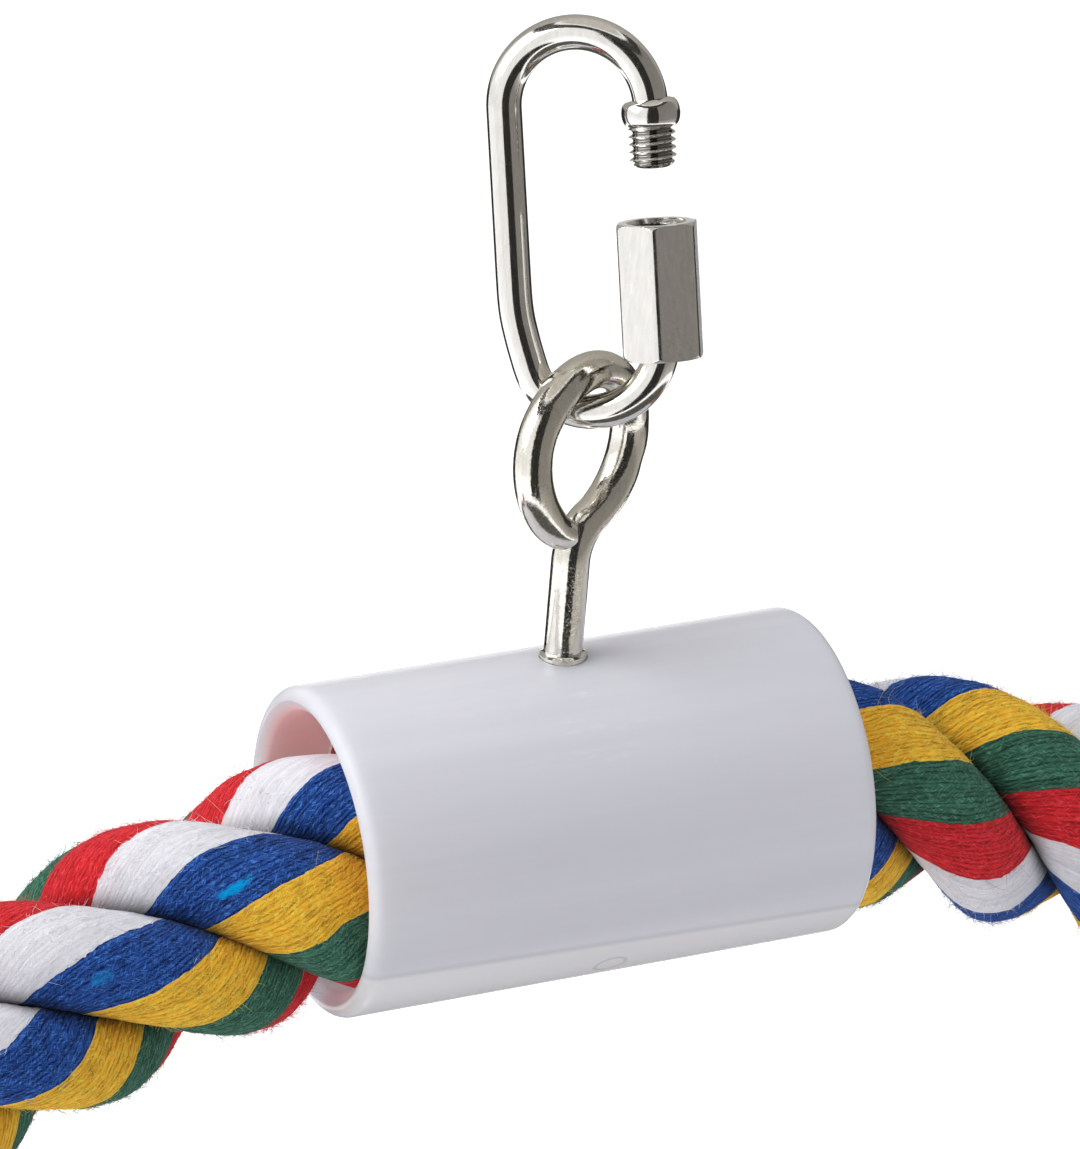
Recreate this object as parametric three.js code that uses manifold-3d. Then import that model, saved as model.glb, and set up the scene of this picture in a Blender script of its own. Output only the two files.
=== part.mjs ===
// A rope ring swing for a pet bird: a twisted cotton ring on a steel core, its ends held in a plastic
// sleeve by an eye bolt, and an open quick link in the eye that hangs the swing from a cage bar.
// Lengths are in millimetres and angles in degrees. +Z is up and the sleeve lies along X.
// The origin is the inside top of the link's upper bow, where the cage bar sits.
import * as THREE from 'three';
import { mergeVertices } from 'three/addons/utils/BufferGeometryUtils.js';
import Module from 'manifold-3d';

const wasm = await Module();
wasm.setup();

// Clearance between pieces that touch on the real object
const FIT_GAP = 0.3;

// Rope ring
const RING_RADIUS = 140.7;
const ROPE_RADIUS = 11.8;
const CREASE_DEPTH = 4.6;
const CORE_WIRE = 3.0;
const LAY_TURNS = 17;
const LAY_PHASE = 70.5;
const STRAND_COUNT = 3;

// Wire loops and tape at the two rope ends
const LOOP_NECK = 3.0;
const LOOP_STEP = 5.6;
const WIRE_BARE = 1.2;
const TAPE_LENGTH = 8.0;
const TAPE_THICKNESS = 0.6;

// Joiner sleeve
const SLEEVE_LENGTH = 54.6;
const SLEEVE_WALL = 2.5;
const SLEEVE_ROUND = 1.3;
const SLEEVE_BEVEL = 1.1;
const ROPE_PLAY = 1.08;

// Eye bolt
const BOLT_THREAD = 4.7;
const BOLT_END_INSET = 0.5;
const THREAD_RISE = 0.8;
const EYE_WIRE = 3.9;
const EYE_RADIUS = 8.3;
const EYE_NECK = 4.2;
const EYE_RISE = 30.3;
const EYE_TURN = 30;
const EYE_LEAN = 4.5;
const EYE_SET = 1.5;
const EYE_SET_START = 0.68;

// Quick link
const LINK_ROD = 3.5;
const BOW_RADIUS = 7.3;
const ARM_LENGTH = 22.8;
const LINK_THREAD = 4.4;
const COLLAR_DIAMETER = 5.8;
const COLLAR_HEIGHT = 2.8;
const COLLAR_DROP = 2.1;
const COLLAR_RIM = 0.7;
const STUB_LENGTH = 4.0;
const GATE_GAP = 5.4;
const LINK_TURN = -36;
const LINK_BACK = 10.5;
const LINK_SIDE = 5.5;

// Sleeve nut of the quick link
const NUT_SIDES = 6;
const NUT_FLATS = 7.6;
const NUT_TURN = 9;
const NUT_LENGTH = 13.4;
const NUT_CHAMFER = 0.7;
const NUT_GRIP = 2.5;

// Facets
const ROD_SIDES = 12;
const POST_SIDES = 24;
const CORE_SIDES = 8;
const ROUND_SIDES = 40;
const ARC_STEPS = 16;
const EDGE_STEPS = 4;
const TAPE_STEPS = 2;
const RING_STEPS = 96;
const LAY_STEPS = 8;
const LOBE_STEPS = 4;
const GAP_SAMPLES = 400;
const SEAT_STEP = 0.02;
const WELD = 1e-4;

// Finishes
const BRIGHT_STEEL = { color: 0xbdbcba, roughness: 0.28, metalness: 1 };
const BOLT_STEEL = { color: 0xb4b2ae, roughness: 0.32, metalness: 1 };
const PLAIN_WIRE = { color: 0x8f8f90, roughness: 0.4, metalness: 1 };
const WHITE_PLASTIC = { color: 0xe9e6ea, roughness: 0.22, metalness: 0 };
const STRIPED_COTTON = { color: 0xc8402f, roughness: 0.9, metalness: 0 };
const TAPE_CLOTH = { color: 0xd9d4c4, roughness: 0.7, metalness: 0 };

const { degToRad, smoothstep } = THREE.MathUtils;

// Values worked out from the sizes above
const sagitta = SLEEVE_LENGTH ** 2 / (8 * RING_RADIUS);
const boreRadius = ROPE_RADIUS + sagitta / 2 + ROPE_PLAY;
const sleeveRadius = boreRadius + SLEEVE_WALL;
const mouthDrop = boreRadius - ROPE_RADIUS - FIT_GAP;
const ringTop = sagitta - mouthDrop;
const loopRadius = BOLT_THREAD / 2 + FIT_GAP + CORE_WIRE / 2;
const loopReach = eyeReach(loopRadius, LOOP_NECK);
const ropeEnd = Math.asin((loopReach + LOOP_STEP) / RING_RADIUS);
const shankTop = sleeveRadius + THREAD_RISE;
const eyeTop = sleeveRadius + EYE_RISE;
const upright = new THREE.Vector3(0, 0, 1);
const linkTangent = new THREE.Vector3(1, 0, 0).applyAxisAngle(upright, degToRad(LINK_TURN));
const linkNormal = new THREE.Vector3().crossVectors(upright, linkTangent);
const armTop = BOW_RADIUS + ARM_LENGTH;
const collarBase = armTop - COLLAR_DROP;
const stubEnd = collarBase - STUB_LENGTH;
const nutTop = stubEnd - GATE_GAP;
const armEnd = nutTop - NUT_GRIP;

// Length from the neck of a bent wire eye to the middle of its ring
function eyeReach(radius, neck) {
  const span = radius + neck;
  return span * Math.sin(Math.acos(neck / span));
}

// Flat points of a bent wire eye with its ring round the origin and its stem along the second axis:
// the neck bends off the stem, runs on as the ring and stops one gap short of the neck.
function eyePoints(radius, neck, wire) {
  const span = radius + neck;
  const bend = Math.acos(neck / span);
  const reach = eyeReach(radius, neck);
  const near = neck + wire + FIT_GAP;
  const open = Math.acos((radius ** 2 + span ** 2 - near ** 2) / (2 * radius * span));
  const points = [];
  const neckSteps = ARC_STEPS / 4;
  for (let i = 0; i < neckSteps; i += 1) {
    const angle = (bend * i) / neckSteps;
    points.push([neck * (1 - Math.cos(angle)), neck * Math.sin(angle) - reach]);
  }
  const ringSteps = ARC_STEPS * 2;
  for (let i = 0; i <= ringSteps; i += 1) {
    const angle = -bend + ((2 * Math.PI - open) * i) / ringSteps;
    points.push([radius * Math.cos(angle), radius * Math.sin(angle)]);
  }
  return points;
}

// A curve that keeps its own points as the steps of an extrusion
class Route extends THREE.Curve {
  constructor(points) {
    super();
    this.points = points;
  }

  getPoint(t, target = new THREE.Vector3()) {
    const place = t * (this.points.length - 1);
    const index = Math.min(Math.floor(place), this.points.length - 2);
    return target.lerpVectors(this.points[index], this.points[index + 1], place - index);
  }

  getPointAt(u, target) {
    return this.getPoint(u, target);
  }

  getTangentAt(u, target = new THREE.Vector3()) {
    const last = this.points.length - 1;
    const index = Math.round(u * last);
    const before = this.points[Math.max(index - 1, 0)];
    const after = this.points[Math.min(index + 1, last)];
    return target.subVectors(after, before).normalize();
  }
}

// A round rod along points
function rod(points, diameter, sides) {
  const circle = new THREE.Shape(new THREE.EllipseCurve(0, 0, diameter / 2, diameter / 2).getPoints(sides));
  return new THREE.ExtrudeGeometry(circle, {
    steps: points.length - 1,
    extrudePath: new Route(points),
    curveSegments: sides,
    bevelEnabled: false,
  });
}

// A solid turned about Z from a list of [radius, height] points
function turned(outline, sides) {
  const points = outline.map(([radius, height]) => new THREE.Vector2(radius, height));
  return new THREE.LatheGeometry(points, sides).rotateX(Math.PI / 2);
}

// A cylinder about Z between two heights
function post(radius, low, high, sides) {
  return turned([[0, low], [radius, low], [radius, high], [0, high]], sides);
}

function solid(geometry) {
  const bare = geometry.clone();
  bare.deleteAttribute('normal');
  bare.deleteAttribute('uv');
  const merged = mergeVertices(bare, WELD);
  return new wasm.Manifold(new wasm.Mesh({
    numProp: 3,
    vertProperties: new Float32Array(merged.attributes.position.array),
    triVerts: new Uint32Array(merged.index.array),
  }));
}

function shape(manifold) {
  const mesh = manifold.getMesh();
  const geometry = new THREE.BufferGeometry();
  geometry.setAttribute('position', new THREE.BufferAttribute(mesh.vertProperties, 3));
  geometry.setIndex(new THREE.BufferAttribute(mesh.triVerts, 1));
  geometry.computeVertexNormals();
  return geometry;
}

function joined(...geometries) {
  const solids = geometries.map(solid);
  return shape(solids.slice(1).reduce((sum, next) => sum.add(next), solids[0]));
}

function piece(name, geometry, finish) {
  const mesh = new THREE.Mesh(geometry, new THREE.MeshStandardMaterial(finish));
  mesh.name = name;
  return mesh;
}

// Middle of the rope and its outward direction at an angle round the ring from the top
function ringPlace(angle) {
  const outward = new THREE.Vector3(Math.sin(angle), 0, Math.cos(angle));
  const middle = outward.clone().multiplyScalar(RING_RADIUS);
  middle.z += ringTop - RING_RADIUS;
  return { middle, outward };
}

// Section of one strand as [outward, sideways] points, from the middle of its inner face and back
function strandSection() {
  const half = Math.PI / STRAND_COUNT;
  const inner = CORE_WIRE / 2 + FIT_GAP;
  const crease = ROPE_RADIUS - CREASE_DEPTH;
  const wall = (radius) => [
    radius * Math.cos(half) + (FIT_GAP / 2) * Math.sin(half),
    radius * Math.sin(half) - (FIT_GAP / 2) * Math.cos(half),
  ];
  const [edgeOut, edgeSide] = wall(crease);
  const lobeMiddle = (ROPE_RADIUS ** 2 - edgeOut ** 2 - edgeSide ** 2) / (2 * (ROPE_RADIUS - edgeOut));
  const lobeRadius = ROPE_RADIUS - lobeMiddle;
  const lobeSpan = Math.atan2(edgeSide, edgeOut - lobeMiddle);
  const side = [[inner * Math.cos(half / 2), inner * Math.sin(half / 2)], wall(inner)];
  for (let i = 0; i < LOBE_STEPS / 2; i += 1) {
    const angle = lobeSpan * (1 - (2 * i) / LOBE_STEPS);
    side.push([lobeMiddle + lobeRadius * Math.cos(angle), lobeRadius * Math.sin(angle)]);
  }
  const mirrored = side.map(([out, across]) => [out, -across]);
  return [[inner, 0], ...mirrored, [ROPE_RADIUS, 0], ...side.reverse()];
}

// Whether a quad of the twisted skin is split along its first diagonal, so that faces turn round the
// rope by the short way and the walls of neighbouring strands are split alike
function splitsAhead(from, to) {
  const outward = Math.hypot(...to) - Math.hypot(...from);
  const around = (from[0] * to[1] - from[1] * to[0]) / Math.hypot(...from);
  return Math.abs(outward) > Math.abs(around) ? outward > 0 : around > 0;
}

// A closed skin over a row of like sections that turn about the rope
function loft(rings, section) {
  const count = section.length;
  const ahead = section.map((point, j) => splitsAhead(point, section[(j + 1) % count]));
  const faces = [];
  for (let i = 0; i + 1 < rings.length; i += 1) {
    for (let j = 0; j < count; j += 1) {
      const a = i * count + j;
      const b = i * count + ((j + 1) % count);
      const c = a + count;
      const d = b + count;
      faces.push(...(ahead[j] ? [a, d, b, a, c, d] : [a, c, b, b, c, d]));
    }
  }
  const flat = section.map(([out, across]) => new THREE.Vector2(out, across));
  const last = (rings.length - 1) * count;
  THREE.ShapeUtils.triangulateShape(flat, []).forEach(([a, b, c]) => {
    faces.push(a, b, c, last + a, last + c, last + b);
  });
  const geometry = new THREE.BufferGeometry().setFromPoints(rings.flat());
  geometry.setIndex(faces);
  geometry.computeVertexNormals();
  return geometry;
}

// One strand laid round the ring as a right-handed helix
function strand(index) {
  const section = strandSection();
  const steps = Math.round(LAY_TURNS * LAY_STEPS);
  const sideways = new THREE.Vector3(0, 1, 0);
  const rings = [];
  for (let i = 0; i <= steps; i += 1) {
    const angle = ropeEnd + ((2 * Math.PI - 2 * ropeEnd) * i) / steps;
    const turn = degToRad(LAY_PHASE) - LAY_TURNS * angle + (2 * Math.PI * index) / STRAND_COUNT;
    const { middle, outward } = ringPlace(angle);
    rings.push(section.map(([out, across]) => middle.clone()
      .addScaledVector(outward, out * Math.cos(turn) - across * Math.sin(turn))
      .addScaledVector(sideways, out * Math.sin(turn) + across * Math.cos(turn))));
  }
  return loft(rings, section);
}

// The core wire: a loop on the bolt, the ring, and a second loop on the bolt under the first
function coreWire() {
  const lift = (CORE_WIRE + FIT_GAP) / 2;
  const loop = eyePoints(loopRadius, LOOP_NECK, CORE_WIRE);
  const end = (side, level) => loop.map(([across, along]) =>
    new THREE.Vector3(-side * along, across, ringTop + level));
  const bare = ropeEnd - WIRE_BARE / RING_RADIUS;
  const ring = [];
  for (let i = 0; i <= RING_STEPS; i += 1) {
    const angle = bare + ((2 * Math.PI - 2 * bare) * i) / RING_STEPS;
    ring.push(ringPlace(angle).middle);
  }
  return rod([...end(1, -lift).reverse(), ...ring, ...end(-1, lift)], CORE_WIRE, CORE_SIDES);
}

// Tape bound round one rope end, which follows the ring
function endTape(side) {
  const inner = ROPE_RADIUS + FIT_GAP;
  const band = new THREE.Shape().absarc(0, 0, inner + TAPE_THICKNESS, 0, 2 * Math.PI, false);
  band.holes.push(new THREE.Path().absarc(0, 0, inner, 0, 2 * Math.PI, true));
  const points = [];
  for (let i = 0; i <= TAPE_STEPS; i += 1) {
    points.push(ringPlace(side * (ropeEnd + (TAPE_LENGTH * i) / (TAPE_STEPS * RING_RADIUS))).middle);
  }
  return new THREE.ExtrudeGeometry(band, {
    steps: TAPE_STEPS,
    extrudePath: new Route(points),
    curveSegments: ROUND_SIDES / 2,
    bevelEnabled: false,
  });
}

// The joiner sleeve, drilled through both walls for the bolt
function joinerSleeve() {
  const half = SLEEVE_LENGTH / 2;
  const outline = [];
  for (let i = 0; i <= EDGE_STEPS; i += 1) {
    const angle = (Math.PI / 2) * (i / EDGE_STEPS);
    outline.push([
      sleeveRadius - SLEEVE_ROUND * (1 - Math.cos(angle)),
      half - SLEEVE_ROUND * (1 - Math.sin(angle)),
    ]);
  }
  outline.push([boreRadius + SLEEVE_BEVEL, half], [boreRadius, half - SLEEVE_BEVEL]);
  const mirrored = outline.map(([radius, height]) => [radius, -height]).reverse();
  const tube = turned([...mirrored, ...outline, mirrored[0]], ROUND_SIDES).rotateY(Math.PI / 2);
  const drill = post(BOLT_THREAD / 2 + FIT_GAP, -2 * sleeveRadius, 2 * sleeveRadius, POST_SIDES);
  return shape(solid(tube).subtract(solid(drill)));
}

// Turns a point of the upright eye into its lean, which starts where the thread ends
function leaned(point) {
  const foot = new THREE.Vector3(0, 0, shankTop);
  return point.sub(foot).applyAxisAngle(linkNormal, degToRad(EYE_LEAN)).add(foot);
}

// Points of the eye bolt's wire, from the thread up the shank and round the eye, whose cut end is set
// forward of the shank
function eyeRoute() {
  const across = new THREE.Vector3(1, 0, 0).applyAxisAngle(upright, degToRad(EYE_TURN));
  const forward = new THREE.Vector3().crossVectors(across, upright);
  const eyeMiddle = eyeTop - EYE_RADIUS;
  const flat = eyePoints(EYE_RADIUS, EYE_NECK, EYE_WIRE);
  const bent = flat.map(([side, along], i) => {
    const set = EYE_SET * smoothstep(i / (flat.length - 1), EYE_SET_START, 1);
    const place = across.clone().multiplyScalar(side).addScaledVector(forward, set);
    return leaned(place.setZ(eyeMiddle + along));
  });
  const foot = new THREE.Vector3(0, 0, shankTop - SLEEVE_WALL);
  const bend = new THREE.Vector3(0, 0, shankTop);
  return [foot, bend, ...bent];
}

// The eye bolt: a threaded shank through the sleeve, with its wire bent into an eye
function eyeBolt() {
  const thread = post(BOLT_THREAD / 2, BOLT_END_INSET - sleeveRadius, shankTop, POST_SIDES);
  return joined(thread, rod(eyeRoute(), EYE_WIRE, ROD_SIDES));
}

// Points of the link's rod from the stub over the top, down the plain arm and up inside the nut,
// with the middle of the lower bow's lowest point at the origin
function linkRoute() {
  const at = (side, height) => new THREE.Vector3(side, 0, height);
  const points = [at(BOW_RADIUS, stubEnd)];
  for (let i = 0; i <= ARC_STEPS; i += 1) {
    const angle = (Math.PI * i) / ARC_STEPS;
    points.push(at(BOW_RADIUS * Math.cos(angle), armTop + BOW_RADIUS * Math.sin(angle)));
  }
  for (let i = 0; i <= ARC_STEPS; i += 1) {
    const angle = Math.PI + (Math.PI * i) / ARC_STEPS;
    points.push(at(BOW_RADIUS * Math.cos(angle), BOW_RADIUS * (1 + Math.sin(angle))));
  }
  points.push(at(BOW_RADIUS, armEnd));
  return points;
}

// The quick link: its bent rod, the two threaded ends and the bead that stops the nut
function quickLink() {
  const onArm = (geometry) => geometry.translate(BOW_RADIUS, 0, 0);
  const stub = onArm(post(LINK_THREAD / 2, stubEnd, collarBase, POST_SIDES));
  const arm = onArm(post(LINK_THREAD / 2, BOW_RADIUS, armEnd, POST_SIDES));
  const collar = onArm(turned([
    [0, collarBase],
    [COLLAR_DIAMETER / 2 - COLLAR_RIM / 2, collarBase],
    [COLLAR_DIAMETER / 2, collarBase + COLLAR_RIM],
    [COLLAR_DIAMETER / 2, collarBase + COLLAR_HEIGHT - COLLAR_RIM],
    [COLLAR_DIAMETER / 2 - COLLAR_RIM / 2, collarBase + COLLAR_HEIGHT],
    [0, collarBase + COLLAR_HEIGHT],
  ], POST_SIDES));
  return joined(rod(linkRoute(), LINK_ROD, ROD_SIDES), stub, arm, collar);
}

// The sleeve nut, six-sided with turned chamfers, at rest at the foot of its arm
function linkNut() {
  const corner = NUT_FLATS / (2 * Math.cos(Math.PI / NUT_SIDES));
  const low = nutTop - NUT_LENGTH;
  const tip = corner - NUT_CHAMFER;
  const hexagon = post(corner, low, nutTop, NUT_SIDES).rotateZ(degToRad(NUT_TURN));
  const barrel = turned([
    [0, low],
    [tip, low],
    [corner, low + NUT_CHAMFER],
    [corner, nutTop - NUT_CHAMFER],
    [tip, nutTop],
    [0, nutTop],
  ], ROUND_SIDES);
  const bore = post(LINK_THREAD / 2 + FIT_GAP, low - FIT_GAP, nutTop + FIT_GAP, POST_SIDES);
  const nut = solid(hexagon).intersect(solid(barrel)).subtract(solid(bore));
  return shape(nut).translate(BOW_RADIUS, 0, 0);
}

// Place of the link when its lower bow is a given drop under the top of the eye
function linkPose(drop) {
  const bow = leaned(new THREE.Vector3(0, 0, eyeTop));
  return new THREE.Matrix4().makeTranslation(bow.x, bow.y, bow.z - drop)
    .multiply(new THREE.Matrix4().makeRotationZ(degToRad(LINK_TURN)))
    .multiply(new THREE.Matrix4().makeRotationX(degToRad(-LINK_BACK)))
    .multiply(new THREE.Matrix4().makeTranslation(0, 0, BOW_RADIUS))
    .multiply(new THREE.Matrix4().makeRotationY(degToRad(-LINK_SIDE)))
    .multiply(new THREE.Matrix4().makeTranslation(0, 0, -BOW_RADIUS));
}

// Least distance between two routes, measured on points along them
function routeGap(first, second) {
  const places = first.getPoints(GAP_SAMPLES);
  const others = second.getPoints(GAP_SAMPLES);
  return Math.min(...places.map((place) => Math.min(...others.map((other) => place.distanceTo(other)))));
}

// The link is lowered through the eye until the two wires are a fit gap apart
const wireReach = (EYE_WIRE + LINK_ROD) / 2 + FIT_GAP;
const eyeWire = new Route(eyeRoute());
let drop = wireReach;
let pose = linkPose(drop);
while (routeGap(new Route(linkRoute().map((point) => point.applyMatrix4(pose))), eyeWire) < wireReach) {
  drop += SEAT_STEP;
  pose = linkPose(drop);
}
const link = new THREE.Group();
link.applyMatrix4(pose);
link.add(piece('quick_link', quickLink(), BRIGHT_STEEL));
link.add(piece('link_nut', linkNut(), BRIGHT_STEEL));

// The swing under it
const swing = new THREE.Group();
swing.add(piece('eye_bolt', eyeBolt(), BOLT_STEEL));
swing.add(piece('joiner_sleeve', joinerSleeve(), WHITE_PLASTIC));
swing.add(piece('core_wire', coreWire(), PLAIN_WIRE));
for (let i = 0; i < STRAND_COUNT; i += 1) {
  swing.add(piece(`rope_strand_${i + 1}`, strand(i), STRIPED_COTTON));
}
swing.add(piece('rope_end_tape_left', endTape(-1), TAPE_CLOTH));
swing.add(piece('rope_end_tape_right', endTape(1), TAPE_CLOTH));

// The seat of the cage bar comes to the origin
const seat = new THREE.Vector3(0, 0, armTop).applyMatrix4(pose).addScaledVector(
  new THREE.Vector3(0, 0, 1).applyAxisAngle(linkTangent, degToRad(-LINK_BACK)),
  BOW_RADIUS - LINK_ROD / 2,
);
const assembly = new THREE.Group();
assembly.add(link, swing);
assembly.position.copy(seat).negate();

export default assembly;
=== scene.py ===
# %% [markdown]
# A ring swing for a pet bird hangs here by an open quick link: a bright steel link, an eye bolt, a white
# plastic sleeve, and a thick rope of striped cotton bent into a ring. The solids come in as a fixed frame
# with the right sizes and joints. This lesson dresses them: every shape below is a formula on a grid of
# numbers, worked out as whole arrays, and every finish is a small tree of shader nodes.

import bpy
import numpy as np
from mathutils import Matrix, Vector


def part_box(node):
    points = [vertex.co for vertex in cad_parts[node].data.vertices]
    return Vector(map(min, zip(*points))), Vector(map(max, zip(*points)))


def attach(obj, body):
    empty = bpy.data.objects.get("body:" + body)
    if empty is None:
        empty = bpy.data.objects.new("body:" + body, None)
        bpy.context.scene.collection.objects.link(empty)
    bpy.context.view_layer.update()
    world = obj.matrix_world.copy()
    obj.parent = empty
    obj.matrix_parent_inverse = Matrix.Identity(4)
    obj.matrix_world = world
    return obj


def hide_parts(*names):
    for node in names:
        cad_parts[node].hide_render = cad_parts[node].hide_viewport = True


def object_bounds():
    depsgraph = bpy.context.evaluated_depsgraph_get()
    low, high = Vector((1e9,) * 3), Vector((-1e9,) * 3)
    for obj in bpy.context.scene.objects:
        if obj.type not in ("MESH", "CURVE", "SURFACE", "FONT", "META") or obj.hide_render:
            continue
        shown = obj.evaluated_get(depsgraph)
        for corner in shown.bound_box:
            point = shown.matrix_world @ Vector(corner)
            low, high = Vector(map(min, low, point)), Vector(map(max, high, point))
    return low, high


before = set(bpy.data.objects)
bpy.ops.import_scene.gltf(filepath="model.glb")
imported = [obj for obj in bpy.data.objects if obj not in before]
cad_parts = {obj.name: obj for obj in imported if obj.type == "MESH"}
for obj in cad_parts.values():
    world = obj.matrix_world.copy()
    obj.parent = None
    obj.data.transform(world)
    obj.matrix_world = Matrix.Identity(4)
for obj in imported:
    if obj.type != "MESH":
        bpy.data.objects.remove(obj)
scene = bpy.context.scene
cad_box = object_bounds()
MM = 0.001
TURN = 2 * np.pi

# %% [markdown]
# The camera comes first, because every later choice is judged through it. The photograph looks down on the
# sleeve from the front left with a long lens. The camera stands on a ray from the sleeve's middle, and it
# is then aimed a little higher, so that the sleeve sits low in the picture as it does in the photograph.

# %% Camera
sleeve_low, sleeve_high = (np.array(corner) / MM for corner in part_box("joiner_sleeve"))
sleeve_middle = (sleeve_low + sleeve_high) / 2
STAND_AZIMUTH, STAND_ELEVATION, STAND_DISTANCE = np.radians(-23.674), np.radians(23.286), 760.16
AIM_AZIMUTH, AIM_ELEVATION = np.radians(-23.4852), np.radians(21.5049)
LENS = 237.22


def towards(azimuth, elevation):
    """Unit direction at an azimuth from the front, -Y, and an elevation above the horizon."""
    level = np.cos(elevation)
    return np.array([np.sin(azimuth) * level, -np.cos(azimuth) * level, np.sin(elevation)])


def facing_back(way):
    """Rotation of a camera or lamp that stands out along a direction and looks back along it."""
    return Vector(-way).to_track_quat("-Z", "Y").to_euler()


def into_scene(name, data):
    """A new object with its data, linked to the scene."""
    made = bpy.data.objects.new(name, data)
    scene.collection.objects.link(made)
    return made


camera = into_scene("camera", bpy.data.cameras.new("camera"))
scene.camera = camera
camera.data.lens = LENS
camera.data.clip_start, camera.data.clip_end = 0.01, 20
camera_place = sleeve_middle + STAND_DISTANCE * towards(STAND_AZIMUTH, STAND_ELEVATION)
camera.location = camera_place * MM
camera.rotation_euler = facing_back(towards(AIM_AZIMUTH, AIM_ELEVATION))
print("camera at", (camera_place * MM).round(3))

# %% [markdown]
# All pieces are made with the same few helpers. A grid of points becomes a skin of four-cornered faces
# between neighbouring rows and columns. The columns always wrap round. The rows may wrap too, as on a
# tube with a wall, or stop at two ends, which are then closed by a fan of triangles each.

# %% Helpers for grids
THREAD_ROUND = 0.8


def unit(vectors):
    """Vectors scaled to length one."""
    return vectors / np.linalg.norm(vectors, axis=-1, keepdims=True)


def eased(share):
    """A share held between 0 and 1 that leaves and arrives softly."""
    share = np.clip(share, 0, 1)
    return share**2 * (3 - 2 * share)


def hill(place, middle, spread):
    """A soft hill of height one: a Gaussian bell."""
    return np.exp(-(((place - middle) / spread) ** 2))


def length_along(path):
    """Length of a path from its start to each of its points."""
    return np.concatenate([[0], np.cumsum(np.linalg.norm(np.diff(path, axis=0), axis=1))])


def grid_faces(rows, columns, ring=False):
    """Corner numbers of the faces of a grid whose columns wrap round, and whose rows do in a ring."""
    row, column = np.meshgrid(np.arange(rows if ring else rows - 1), np.arange(columns), indexing="ij")
    here, above = row * columns, (row + 1) % rows * columns
    beside = (column + 1) % columns
    return np.stack([here + column, here + beside, above + beside, above + column], -1).reshape(-1, 4)


def end_fans(rows, columns):
    """Triangles from two middle points, numbered after the grid, to the first and the last row."""
    column = np.arange(columns)
    beside = (column + 1) % columns
    first = np.full(columns, rows * columns)
    last = (rows - 1) * columns
    return np.concatenate([
        np.stack([first, beside, column], -1),
        np.stack([first + 1, last + column, last + beside], -1),
    ])


def build_mesh(name, points, face_groups, uv=None, groove=None):
    """A mesh from points in millimetres and groups of faces, with one UV pair for each face corner and a
    number for each point that says how deep it lies in a screw thread or a crease."""
    mesh = bpy.data.meshes.new(name)
    corners = np.concatenate([faces.ravel() for faces in face_groups])
    counts = np.concatenate([np.full(len(faces), faces.shape[1]) for faces in face_groups])
    mesh.vertices.add(len(points))
    mesh.vertices.foreach_set("co", (points * MM).astype(np.float32).ravel())
    mesh.loops.add(len(corners))
    mesh.loops.foreach_set("vertex_index", corners.astype(np.int32))
    mesh.polygons.add(len(counts))
    mesh.polygons.foreach_set("loop_start", np.concatenate([[0], np.cumsum(counts)[:-1]]).astype(np.int32))
    mesh.polygons.foreach_set("use_smooth", np.ones(len(counts), bool))
    mesh.update(calc_edges=True)
    if uv is not None:
        layer = mesh.uv_layers.new(name="yarn")
        layer.data.foreach_set("uv", uv.astype(np.float32).ravel())
    if groove is not None:
        depth = mesh.attributes.new("groove", "FLOAT", "POINT")
        depth.data.foreach_set("value", groove.astype(np.float32).ravel())
    return mesh


def place_piece(name, mesh, body, nodes, sharp=None):
    """Puts a mesh into the scene as a piece that rides on a body and stands for CAD nodes."""
    if sharp is not None:
        mesh.set_sharp_from_angle(angle=np.radians(sharp))
    piece = into_scene(name, mesh)
    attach(piece, body)
    if nodes:
        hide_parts(*nodes)
    print(name, len(mesh.vertices), "points", len(mesh.polygons), "faces")
    return piece


def solid_rod(name, points, groove=None, end_groove=0, uv=None):
    """A grid with both ends closed, as a mesh. The middles of the ends have a groove depth of their own."""
    rows, columns, _ = points.shape
    ends = np.stack([points[0].mean(0), points[-1].mean(0)])
    fans = end_fans(rows, columns)
    if groove is not None:
        groove = np.append(groove, [end_groove, end_groove])
    if uv is not None:
        uv = np.append(uv, np.full((fans.size, 2), 0.5))
    points = np.concatenate([points.reshape(-1, 3), ends])
    return build_mesh(name, points, [grid_faces(rows, columns), fans], uv, groove)


def around(columns):
    """Angles of evenly spaced columns."""
    return np.arange(columns) * TURN / columns


def carried(path, facing, radius):
    """A circle carried along a path: each row is square to the path, and radius gives every column's reach.
    The second axis of a circle is the facing direction made square to the path."""
    along = unit(np.gradient(path, axis=0))
    across = unit(facing - (along @ facing)[:, None] * along)
    side = np.cross(across, along)
    angle = around(radius.shape[1])[:, None]
    spread = np.cos(angle) * side[:, None] + np.sin(angle) * across[:, None]
    return path[:, None] + radius[..., None] * spread


def turned_by(axis, degrees):
    """The 3 by 3 matrix that turns points about a direction, or about X, Y or Z by its letter."""
    return np.array(Matrix.Rotation(np.radians(degrees), 3, axis))


def thread(height, columns, crest, depth, pitch):
    """Radius of a screw thread: a rounded zigzag of height over pitch less turn, taken off the crest."""
    phase = height[:, None] / pitch - around(columns) / TURN
    zigzag = np.abs(2 * (phase % 1) - 1)
    return crest - depth * (0.5 - 0.5 * np.cos(np.pi * zigzag)) ** THREAD_ROUND


# %% [markdown]
# The quick link is one bent rod. Its upper end has a bead that stops the nut and a short screw thread below
# it, which the photograph shows bare because the link is open. Its lower end is threaded under the nut.
# A bent rod could be a Blender curve with a bevel, but the bead and the threads are then separate solids.
# Here the rod is one circle carried along its route, and only its radius changes: that gives one clean skin.

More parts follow.
